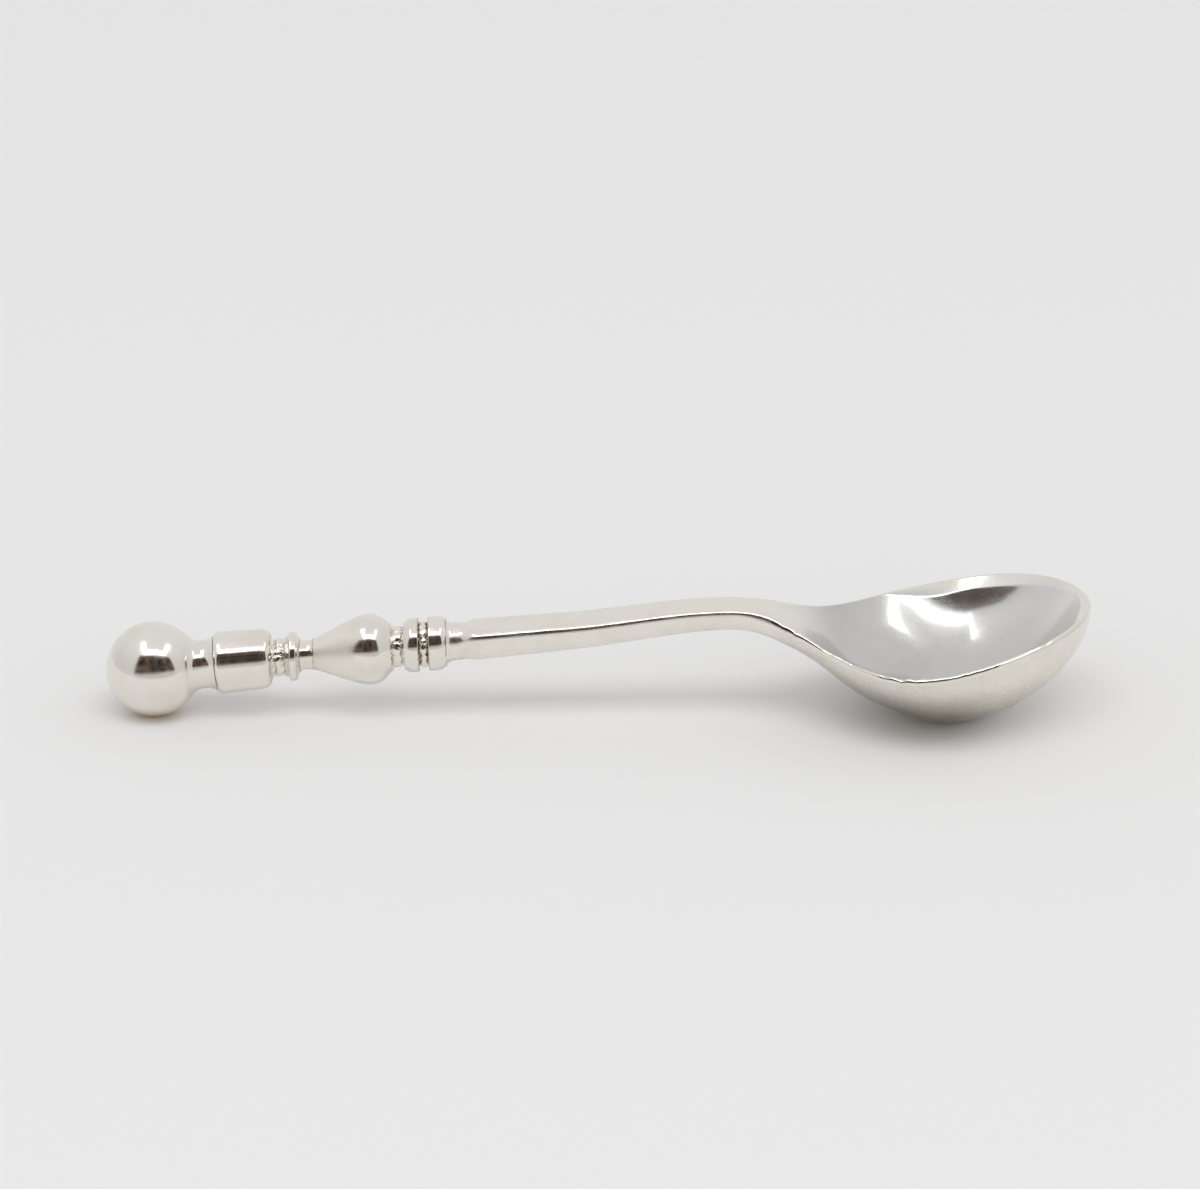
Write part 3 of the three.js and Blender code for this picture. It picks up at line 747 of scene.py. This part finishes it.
class Bench:
    """A node tree with short ways to add and wire nodes."""

    def __init__(self, tree):
        self.tree, self.nodes, self.links = tree, tree.nodes, tree.links

    def add(self, kind, sockets=None, **settings):
        node = self.nodes.new("ShaderNode" + kind)
        for name, value in settings.items():
            setattr(node, name, value)
        for name, value in (sockets or {}).items():
            self.feed(node.inputs[name], value)
        return node

    def feed(self, socket, value):
        if isinstance(value, bpy.types.NodeSocket):
            self.links.new(value, socket)
        else:
            socket.default_value = value

    def math(self, operation, first, second=0.0):
        return self.add("Math", {0: first, 1: second}, operation=operation).outputs[0]

    def times(self, value, gain, plus=0.0):
        return self.add("Math", {0: value, 1: gain, 2: plus}, operation="MULTIPLY_ADD").outputs[0]

    def fade(self, value, low, high):
        places = {"Value": value, "From Min": low, "From Max": high}
        return self.add("MapRange", places, interpolation_type="SMOOTHSTEP").outputs[0]

    def grain(self, place, scale, detail=2.0):
        return self.add("TexNoise", {"Vector": place, "Scale": scale, "Detail": detail}).outputs["Fac"]

    def stretched(self, place, scale, turned=(0, 0, 0)):
        return self.add("Mapping", {"Vector": place, "Scale": scale, "Rotation": turned}).outputs[0]

    def millimetres(self):
        return self.stretched(self.add("TexCoord").outputs["Object"], (1 / MM, 1 / MM, 1 / MM))

    def tint(self, first, second, share):
        node = self.add("Mix", data_type="RGBA")
        for socket, value in zip((node.inputs[6], node.inputs[7], node.inputs[0]), (first, second, share)):
            self.feed(socket, value)
        return node.outputs[2]

    def blend(self, first, second, share):
        node = self.add("Mix", data_type="FLOAT")
        for socket, value in zip((node.inputs[2], node.inputs[3], node.inputs[0]), (first, second, share)):
            self.feed(socket, value)
        return node.outputs[0]


def effect(name, takes, gives):
    """A shared node group with the named inputs and float outputs."""
    tree = bpy.data.node_groups.new(name, "ShaderNodeTree")
    for socket, kind in takes:
        tree.interface.new_socket(socket, in_out="INPUT", socket_type=kind)
    for socket in gives:
        tree.interface.new_socket(socket, in_out="OUTPUT", socket_type="NodeSocketFloat")
    bench = Bench(tree)
    return bench, tree.nodes.new("NodeGroupInput").outputs, tree.nodes.new("NodeGroupOutput").inputs


# Crossed sets of scratches: how their grain is scaled each way, and how it is turned
SCRATCHES = (
    ((0.9, 24, 24), (0, 0.3, 0.4)),
    ((20, 1.1, 20), (0.4, 0, 0.25)),
    ((1.3, 15, 15), (0, -0.7, -0.9)),
)


def hand_polish():
    """Slow swells left by the buff, crossed scratches and small pits."""
    bench, take, give = effect("hand_polish", [("Place", "NodeSocketVector")], ["Height", "Haze"])
    place = take["Place"]
    lines = 0.0
    for stretch, turned in SCRATCHES:
        streak = bench.grain(bench.stretched(place, stretch, turned), 1.0, 0.0)
        line = bench.fade(bench.math("ABSOLUTE", bench.math("SUBTRACT", streak, 0.5)), 0.02, 0.0)
        where = bench.fade(bench.grain(bench.stretched(place, (0.6, 0.6, 0.6), turned), 1.0), 0.5, 0.66)
        lines = bench.times(line, where, lines)
    cells = bench.add("TexVoronoi", {"Vector": place, "Scale": 2.6}).outputs["Distance"]
    patches = bench.fade(bench.grain(place, 0.9), 0.52, 0.6)
    pits = bench.math("MULTIPLY", bench.fade(cells, 0.13, 0.05), patches)
    swell, ripple = bench.grain(place, 0.75, 1.5), bench.grain(place, 2.4, 2.0)
    height = bench.times(lines, -0.02, bench.times(ripple, 0.1, swell))
    bench.links.new(bench.times(pits, -0.06, height), give["Height"])
    clouds = bench.fade(bench.grain(place, 1.6, 4.0), 0.35, 0.75)
    haze = bench.times(lines, 0.25, bench.times(clouds, 0.7))
    bench.links.new(bench.times(pits, 0.6, haze), give["Haze"])
    return bench.tree


def satin_hairlines():
    """Fine lines along the spoon, as a file and a soft brush leave them."""
    bench, take, give = effect("satin_hairlines", [("Place", "NodeSocketVector")], ["Height", "Haze"])
    fine = bench.grain(bench.stretched(take["Place"], (0.14, 8, 8)), 1.0, 1.0)
    broad = bench.grain(bench.stretched(take["Place"], (0.35, 3.5, 3.5), (0, 0.05, 0.04)), 1.0, 2.0)
    bench.links.new(bench.times(broad, 0.7, fine), give["Height"])
    bench.links.new(bench.fade(bench.times(broad, 0.4, fine), 0.5, 0.95), give["Haze"])
    return bench.tree


def tarnish():
    """Dark oxide where the buff can't reach, broken up at its border."""
    takes = [("Place", "NodeSocketVector"), ("Recess", "NodeSocketFloat")]
    bench, take, give = effect("tarnish", takes, ["Dark"])
    blotch = bench.grain(take["Place"], 4.2, 3.0)
    reach = bench.math("ADD", take["Recess"], bench.math("SUBTRACT", blotch, 0.5))
    bench.links.new(bench.fade(reach, 0.45, 1.05), give["Dark"])
    return bench.tree


BUFF, BRUSH, OXIDE = hand_polish(), satin_hairlines(), tarnish()
SILVER, WARM_SILVER, OXIDE_BROWN = (0.87, 0.84, 0.78, 1), (0.84, 0.8, 0.725, 1), (0.32, 0.27, 0.21, 1)
# The bowl: painted shade low underneath, and the hollow's painted light over a worn mottle that carries its
# painted shade
UNDER_PAINTED_SHADE, LIT_HOLLOW = (0.27, 0.25, 0.205, 1), (0.83, 0.82, 0.8, 1)
WORN_SHADED_HOLLOW, WARM_SHADED_HOLLOW = (0.615, 0.61, 0.595, 1), (0.6, 0.587, 0.565, 1)


def finish(name, build):
    """A silver material; build gives its colour, roughness, bump height and bump depth in millimetres."""
    material = bpy.data.materials.new(name)
    material.use_nodes = True
    bench = Bench(material.node_tree)
    shader = bench.nodes["Principled BSDF"]
    colour, roughness, height, depth = build(bench, bench.millimetres())
    bump = bench.add("Bump", {"Height": height, "Distance": depth * MM})
    bench.feed(shader.inputs["Base Color"], colour)
    bench.feed(shader.inputs["Roughness"], roughness)
    bench.links.new(bump.outputs[0], shader.inputs["Normal"])
    shader.inputs["Metallic"].default_value = 1
    return material


def shared(bench, tree, **sockets):
    return bench.add("Group", sockets, node_tree=tree).outputs


def marked(bench, name):
    return bench.add("Attribute", attribute_name=name).outputs["Fac"]


def mottled(bench, place, painted_lightness, warm):
    return bench.tint(painted_lightness, warm, bench.fade(bench.grain(place, 0.45, 3.0), 0.4, 0.7))


def turned_finish(bench, place):
    buff = shared(bench, BUFF, Place=place)
    dark = shared(bench, OXIDE, Place=place, Recess=marked(bench, "recess"))["Dark"]
    silver = mottled(bench, place, SILVER, WARM_SILVER)
    colour = bench.tint(silver, OXIDE_BROWN, bench.math("MULTIPLY", dark, 0.8))
    rough = bench.times(buff["Haze"], 0.1, 0.12)
    rough = bench.times(dark, 0.25, rough)
    rough = bench.times(marked(bench, "brushed"), 0.28, rough)
    return colour, rough, buff["Height"], 0.011


def granular_finish(bench, place):
    buff = shared(bench, BUFF, Place=place)
    recess = bench.math("MULTIPLY", marked(bench, "recess"), 0.85)
    dark = shared(bench, OXIDE, Place=place, Recess=recess)["Dark"]
    colour = bench.tint(mottled(bench, place, SILVER, WARM_SILVER), OXIDE_BROWN, dark)
    return colour, bench.times(dark, 0.3, 0.13), buff["Height"], 0.012


def stem_finish(bench, place):
    buff, brush = shared(bench, BUFF, Place=place), shared(bench, BRUSH, Place=place)
    colour = mottled(bench, place, SILVER, WARM_SILVER)
    rough = bench.times(brush["Haze"], 0.14, 0.15)
    rough = bench.times(buff["Haze"], 0.08, rough)
    return colour, rough, bench.times(brush["Height"], 0.012, buff["Height"]), 0.007


def bowl_finish(bench, place):
    """Brushed and painted shade underneath, bright on the rim, finely worn with painted light and shade in
    the hollow.
    """
    buff, brush = shared(bench, BUFF, Place=place), shared(bench, BRUSH, Place=place)
    hollow, rim = marked(bench, "hollow"), marked(bench, "rim")
    worn = bench.fade(bench.grain(place, 45.0, 0.0), 0.46, 0.56)
    rough_inside = bench.times(worn, 0.17, bench.times(buff["Haze"], 0.06, 0.12))
    rough_outside = bench.blend(bench.times(brush["Haze"], 0.2, 0.11), 0.13, rim)
    rough = bench.blend(rough_outside, rough_inside, hollow)
    # Painted shade: the underside darkens low down, a painted reflection of the shadowed floor
    outside = bench.tint(mottled(bench, place, SILVER, WARM_SILVER), UNDER_PAINTED_SHADE, marked(bench, "painted_low_shade"))
    # The hollow's worn mottle, lifted by painted light and left darker where painted shade lies deep down
    worn_shaded = mottled(bench, place, WORN_SHADED_HOLLOW, WARM_SHADED_HOLLOW)
    inside = bench.tint(worn_shaded, LIT_HOLLOW, marked(bench, "painted_lightness"))
    lines = bench.blend(bench.math("MULTIPLY", brush["Height"], 0.5), 0.0, hollow)
    height = bench.math("ADD", lines, buff["Height"])
    return bench.tint(outside, inside, hollow), rough, height, 0.0075


turned_silver = finish("turned_silver", turned_finish)
granular_silver = finish("granular_silver", granular_finish)
stem_silver = finish("stem_silver", stem_finish)
bowl_silver = finish("bowl_silver", bowl_finish)

# Pieces

SEAT_GRIME, SEAT_GRIME_L = 0.3, 0.3
CREVICE_GRIME, CREVICE_L = 0.8, 0.14
CONE_BRUSHED = (0.42, 0.64)

OUTLINES = {
    "finial_neck": waisted(NECK_BALL_R, NECK_WAIST_R, NECK_BARREL_R, NECK_L),
    "barrel": barrel_outline(),
    "disc": disc_outline(),
    "throat": waisted(THROAT_END_R, THROAT_WAIST_R, THROAT_END_R, THROAT_L),
    "cone_knop": cone_outline(),
    "knop_collar": collar_outline(KNOP_COLLAR_L, True),
    "stem_collar": collar_outline(STEM_COLLAR_L, False),
}
GRANULATED = {
    "barrel_spool": {
        "outline": waisted(SPOOL_END_R, SPOOL_WAIST_R, SPOOL_END_R, SPOOL_L),
        "count": 10, "granule": (0.42, 0.5, 0.28), "seat_r": 1.3, "phase": 0.3,
    },
    "knop_neck": {
        "outline": waisted(KNOP_NECK_START_R, KNOP_NECK_WAIST_R, KNOP_NECK_END_R, KNOP_NECK_L),
        "count": 10, "granule": (0.46, 0.5, 0.22), "seat_r": 1.48, "phase": 0.1,
    },
    "beaded_ring": {
        "outline": [(0, BEAD_CORE_R), (BEAD_RING_L, BEAD_CORE_R)],
        "count": 15, "granule": (0.44, 0.44, 0.28), "seat_r": BEAD_CORE_R, "phase": 0.5,
    },
}


def ball_finial():
    ball = turn(0, ball_outline())
    close_skin(ball)
    hand_finish(ball, *BALL_RUB)
    along, _ = from_axis(ball)
    mark(ball, "recess", SEAT_GRIME * grown(along, ball_seat - SEAT_GRIME_L, ball_seat))
    finish_piece(ball, "ball_finial", turned_silver)


def turned_member(node, outline):
    piece = turn(starts[node], bored(outline))
    close_skin(piece)
    hand_finish(piece, *MEMBER_RUB)
    along, _ = from_axis(piece)
    from_start = along - starts[node]
    crevice = MEMBER_L[node] - from_start
    if node != "finial_neck":
        crevice = np.minimum(from_start, crevice)
    mark(piece, "recess", CREVICE_GRIME * (1 - ease(crevice / CREVICE_L)))
    if node == "cone_knop":
        mark(piece, "brushed", 1 - grown(from_start / CONE_L, *CONE_BRUSHED))
    lean_over(piece)
    finish_piece(piece, node, turned_silver)


ball_finial()
for member, member_outline in OUTLINES.items():
    turned_member(member, member_outline)
for member, ring in GRANULATED.items():
    finish_piece(granulated(starts[member], **ring), member, granular_silver)
blank = forged_blank()
stem, bowl = parted(blank, False), parted(blank, True)
bpy.data.objects.remove(blank)
finish_piece(stem, "stem", stem_silver)
finish_piece(bowl, "bowl", bowl_silver)

# Stage: a pale floor in a white tent, and a lit frame and a dim room that only reflections show

# Tent: its light and the gains that shift it, its look in reflections, and the mean rise of the light
# that an open floor gets, which the low gain leaves as it is
TENT_LIGHT, RIGHT_GAIN, FRONT_GAIN, LOW_GAIN = 0.72, 0.1, 0.14, 0.95
TENT_SHINE, FRONT_DIM = 0.79, 0.13
OPEN_FLOOR_RISE = 2 / 3

# Lamps: x, y, width, depth and glow
LIT_HEIGHT, KEY_HEIGHT = 400, 1600
FRONT_BAR = (20, -201, 432, 90, 3.0)
LEFT_LEG = (-172, -62, 60, 180, 3.6)
RIGHT_LEG = (209, -62, 54, 180, 3.6)
SOFT_KEY = (60, -700, 1600, 900, 2.0)

# Dim room: left, right, low and top edges, over a pale skirt
ROOM_AHEAD = 60
DIM_ROOM = (-92, 57, 3, 92)
SKIRT_LOW, SKIRT_TOP, SKIRT_RISE = 10, 22, 0.07
ROOM_DARK, ROOM_BROWN, SKIRT_GREY = (0.02, 0.015, 0.012, 1), (0.17, 0.11, 0.08, 1), (0.6, 0.59, 0.57, 1)

# Floor: painted shadows where the spoon rests, each with its place, stretch, reach and shadow tint
PALE, BALL_PAINTED_SHADOW, BOWL_PAINTED_SHADOW = (0.86, 0.853, 0.853, 1), (0.66, 0.55, 0.4, 1), (0.83, 0.79, 0.72, 1)
PAINTED_CONTACT_SHADOWS = (
    ((ball_x, 0, 0), (1, 1, 1), 3.2, BALL_PAINTED_SHADOW),
    ((wide_x - 1.2, -1.5, 0), (1, 0.8, 1), 5.5, BOWL_PAINTED_SHADOW),
)


def pale_floor():
    start_clean()
    bpy.ops.mesh.primitive_plane_add(size=6, location=(0, 0, 0))
    plane = bpy.context.object
    plane.name = "floor"
    paper = bpy.data.materials.new("pale_paper")
    paper.use_nodes = True
    bench = Bench(paper.node_tree)
    shader = bench.nodes["Principled BSDF"]
    place = bench.millimetres()
    colour = PALE
    # Painted warm shadows round each place where the spoon rests
    for spot, stretch, reach, shade in PAINTED_CONTACT_SHADOWS:
        near = bench.add("VectorMath", {0: place, 1: spot}, operation="SUBTRACT").outputs[0]
        near = bench.add("VectorMath", {0: near, 1: stretch}, operation="MULTIPLY").outputs[0]
        away = bench.add("VectorMath", {0: near}, operation="LENGTH").outputs["Value"]
        colour = bench.tint(colour, shade, bench.fade(away, reach, 0.0))
    bench.feed(shader.inputs["Base Color"], colour)
    shader.inputs["Roughness"].default_value = 0.9
    shader.inputs["Specular IOR Level"].default_value = 0.0
    plane.data.materials.append(paper)


def room_shade(bench, place):
    blotch = bench.fade(bench.grain(place, 0.05, 4.0), 0.42, 0.68)
    brown = bench.tint(ROOM_DARK, ROOM_BROWN, blotch)
    spot = bench.add("SeparateXYZ", {0: place}).outputs
    past_ball = bench.math("SUBTRACT", spot["X"], ball_x)
    height = bench.times(past_ball, -SKIRT_RISE, spot["Z"])
    return bench.tint(brown, SKIRT_GREY, bench.fade(height, SKIRT_TOP, SKIRT_LOW))


def mirrored_card(name, left, right, low, top, shade):
    """A glowing upright card that only reflections show; shade gives its colour."""
    start_clean()
    middle = Vector(((left + right) / 2, -ROOM_AHEAD, (low + top) / 2)) * MM
    bpy.ops.mesh.primitive_plane_add(size=1, location=middle, rotation=(math.pi / 2, 0, 0))
    card = bpy.context.object
    card.name = name
    card.scale = ((right - left) * MM, (top - low) * MM, 1)
    settle(card)
    glow = bpy.data.materials.new(name)
    glow.use_nodes = True
    bench = Bench(glow.node_tree)
    bench.nodes.remove(bench.nodes["Principled BSDF"])
    emission = bench.add("Emission", {"Color": shade(bench, bench.millimetres()), "Strength": 1.0})
    bench.links.new(emission.outputs[0], bench.nodes["Material Output"].inputs["Surface"])
    card.data.materials.append(glow)
    card.visible_camera = card.visible_diffuse = card.visible_shadow = False
    card.visible_transmission = card.visible_volume_scatter = False


def lamp(name, x, y, wide, deep, glow, height, mirrored):
    """A level lamp that shows in reflections or lights the floor, but not both."""
    light = bpy.data.lights.new(name, "AREA")
    light.shape, light.size, light.size_y = "RECTANGLE", wide * MM, deep * MM
    light.energy = glow * math.pi * wide * deep * MM * MM
    holder = bpy.data.objects.new(name, light)
    holder.location = Vector((x, y, height)) * MM
    holder.visible_glossy, holder.visible_diffuse = mirrored, not mirrored
    bpy.context.scene.collection.objects.link(holder)


def tent():
    """Soft light, stronger from low down and from the front right; reflections see it dimmer low in front."""
    world = bpy.data.worlds.new("tent")
    bpy.context.scene.world = world
    world.use_nodes = True
    bench = Bench(world.node_tree)
    way = bench.add("SeparateXYZ", {0: bench.add("TexCoord").outputs["Generated"]}).outputs
    front, low = bench.fade(way["Y"], 0.9, 0.2), bench.fade(way["Z"], 0.85, 0.2)
    shine = bench.times(bench.math("MULTIPLY", front, low), -FRONT_DIM, TENT_SHINE)
    path = bench.add("LightPath").outputs
    seen = bench.math("MAXIMUM", path["Is Camera Ray"], path["Is Glossy Ray"])
    seen = bench.math("MAXIMUM", seen, path["Is Transmission Ray"])
    light = bench.times(way["X"], RIGHT_GAIN, TENT_LIGHT + LOW_GAIN * OPEN_FLOOR_RISE)
    light = bench.times(way["Y"], -FRONT_GAIN, light)
    light = bench.times(way["Z"], -LOW_GAIN, light)
    back = bench.nodes["Background"]
    back.inputs["Color"].default_value = (1, 1, 1, 1)
    bench.links.new(bench.blend(light, shine, seen), back.inputs["Strength"])


pale_floor()
mirrored_card("dim_room", *DIM_ROOM, room_shade)
tent()
lamp("front_bar", *FRONT_BAR, LIT_HEIGHT, True)
lamp("left_leg", *LEFT_LEG, LIT_HEIGHT, True)
lamp("right_leg", *RIGHT_LEG, LIT_HEIGHT, True)
lamp("soft_key", *SOFT_KEY, KEY_HEIGHT, False)

# Camera
CAMERA_AT, CAMERA_LIFT = Vector((0.21, -458.624, 199.388)), math.radians(22.4)
FOCAL_L, SENSOR_W = 184.69, 36
lens = bpy.data.cameras.new("photo_camera")
lens.lens, lens.sensor_width = FOCAL_L, SENSOR_W
lens.clip_start, lens.clip_end = 0.01, 20
camera = bpy.data.objects.new("photo_camera", lens)
bpy.context.scene.collection.objects.link(camera)
camera.location = CAMERA_AT * MM
camera.rotation_euler = (math.pi / 2 - CAMERA_LIFT, 0, 0)
bpy.context.scene.camera = camera
bpy.context.scene.view_settings.view_transform = "Standard"
